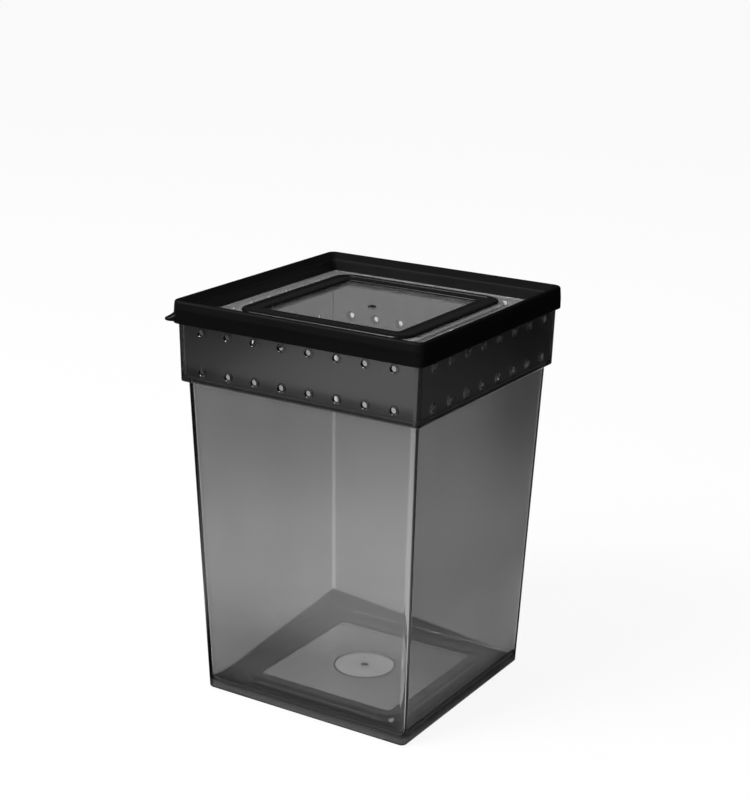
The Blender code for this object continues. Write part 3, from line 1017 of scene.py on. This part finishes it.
# Studio
# A pale floor under even light, with one broad soft lamp from the front left, and the camera where the
# photograph was taken from. In reflections the floor shows painted reflections: white sheets on a dark ground
# that glow only for reflected rays.

floor_reach = 9.0
floor_level = -0.0004
floor_mesh = bpy.data.meshes.new("studio_floor")
corners = [(x * floor_reach, y * floor_reach, floor_level) for x, y in ((-1, -1), (1, -1), (1, 1), (-1, 1))]
floor_mesh.from_pydata(corners, [], [(0, 1, 2, 3)])
studio_floor = bpy.data.objects.new("studio_floor", floor_mesh)
bpy.context.collection.objects.link(studio_floor)


def rays_of(tree):
    """Fields that tell what kind of ray reached a surface."""
    kinds = ("Is Camera Ray", "Is Glossy Ray", "Is Transmission Ray")
    outputs = tree_node(tree, "ShaderNodeLightPath").outputs
    return [Field(outputs[kind]) for kind in kinds]


def painted_reflection_sheets(tree, spot):
    """Painted reflections on the floor, seen only in reflections: a glowing sheet before the box, one behind
    it and a far strip, all fading out close to the box.
    """
    x, y, _ = parts_of(tree, spot)
    off_sheet = tree_node(tree, "ShaderNodeVectorMath", {0: spot, 1: (0.03, -0.12, 0)}, operation="DISTANCE")
    round_sheet = stepped(Field(off_sheet.outputs["Value"]), 0.06, 0.27, 1.0, 0.02)
    left_half = stepped(x, 0.03, 0.09, 1.0, 0.0)
    front_half = stepped(y, -0.06, 0.02, 1.0, 0.0)
    front = round_sheet * largest(left_half, front_half)
    behind = stepped(y, 0.04, 0.2) * left_half
    strip = stepped(y, -0.360, -0.346, 1.0, 0.0) * stepped(y, -0.458, -0.450)
    strip = strip * stepped(x, -0.36, -0.17, 0.1, 0.85)
    # painted shade close to the box in the reflections
    clear_of_box = stepped(largest(abs(x), abs(y)), 0.07, 0.12)
    return largest(largest(front, behind), strip) * clear_of_box


def pale_floor():
    """White board that the camera sees evenly lit. Through the clear walls it has a painted shade at the
    right back.
    """
    made, tree, shader, out = shader_of("pale floor")
    tree.nodes.remove(shader)
    camera_ray, glossy_ray, clear_ray = rays_of(tree)
    spot = tree_node(tree, "ShaderNodeTexCoord").outputs["Object"]
    x, y, _ = parts_of(tree, spot)
    seen = largest(camera_ray, clear_ray)
    # painted shade at the right back, seen only through the clear walls
    right_back_shade = stepped(x, 0.05, 0.1) * stepped(y, 0.0, 0.08)
    brightness = blended(right_back_shade * clear_ray, 1.0, 0.2)
    board = tree_node(tree, "ShaderNodeBsdfDiffuse", {"Color": (0.85, 0.85, 0.85, 1)}).outputs[0]
    glow = tree_node(tree, "ShaderNodeEmission", {"Color": (1, 1, 1, 1), "Strength": brightness}).outputs[0]
    lit = tree_node(tree, "ShaderNodeMixShader", {0: seen * 0.9, 1: board, 2: glow}).outputs[0]
    # painted reflections: the sheets glow only for glossy rays
    sheets = grey_of(tree, painted_reflection_sheets(tree, spot))
    mirrored = tree_node(tree, "ShaderNodeEmission", {"Color": sheets, "Strength": 1.0}).outputs[0]
    only_gloss = glossy_ray * (1.0 - seen)
    mixed = tree_node(tree, "ShaderNodeMixShader", {0: only_gloss, 1: lit, 2: mirrored}).outputs[0]
    feed(out, {"Surface": mixed})
    return made


floor_mesh.materials.append(pale_floor())

room_light = 0.55
room_in_gloss = 0.06
room_through_walls = 0.75
world = bpy.data.worlds.new("studio")
bpy.context.scene.world = world
world.use_nodes = True
camera_ray, glossy_ray, clear_ray = rays_of(world.node_tree)
level = blended(glossy_ray, room_light, room_in_gloss)
level = blended(clear_ray, level, room_through_walls)
level = blended(camera_ray, level, 1.0)
feed(world.node_tree.nodes["Background"], {"Color": (1, 1, 1, 1), "Strength": level})


def soft_lamp(name, place, aim, width, power):
    """A square area lamp at place, facing aim."""
    light = bpy.data.lights.new(name, "AREA")
    light.shape = "SQUARE"
    light.size = width
    light.energy = power
    lamp = bpy.data.objects.new(name, light)
    bpy.context.collection.objects.link(lamp)
    away = Vector(place) - Vector(aim)
    lamp.matrix_world = Matrix.Translation(place) @ away.to_track_quat("Z", "Y").to_matrix().to_4x4()


soft_lamp("front left softbox", place=(-0.42, -0.84, 1.10), aim=(0, 0, 0.08), width=0.6, power=20.0)

camera_place = Vector((0.31343, -0.50490, 0.28785))
camera_side = math.radians(31.669)
camera_rise = math.radians(16.941)
camera_roll = math.radians(-1.048)
back = Vector(
    (
        math.sin(camera_side) * math.cos(camera_rise),
        -math.cos(camera_side) * math.cos(camera_rise),
        math.sin(camera_rise),
    )
)
across = (-back).cross(Vector((0, 0, 1))).normalized()
down = (-back).cross(across)
rolled = across * math.cos(camera_roll) + down * math.sin(camera_roll)
up = back.cross(rolled)
view = bpy.data.cameras.new("camera")
view.lens = 78.290
view.sensor_width = 36.0
view.clip_start = 0.01
camera = bpy.data.objects.new("camera", view)
bpy.context.collection.objects.link(camera)
camera.matrix_world = Matrix.Translation(camera_place) @ Matrix((rolled, up, back)).transposed().to_4x4()
bpy.context.scene.camera = camera

picture = bpy.context.scene
picture.view_settings.view_transform = "Standard"
picture.cycles.max_bounces = 24
picture.cycles.transmission_bounces = 24
picture.cycles.glossy_bounces = 8
picture.cycles.diffuse_bounces = 3
picture.cycles.transparent_max_bounces = 16
picture.cycles.use_denoising = True

bpy.context.view_layer.update()
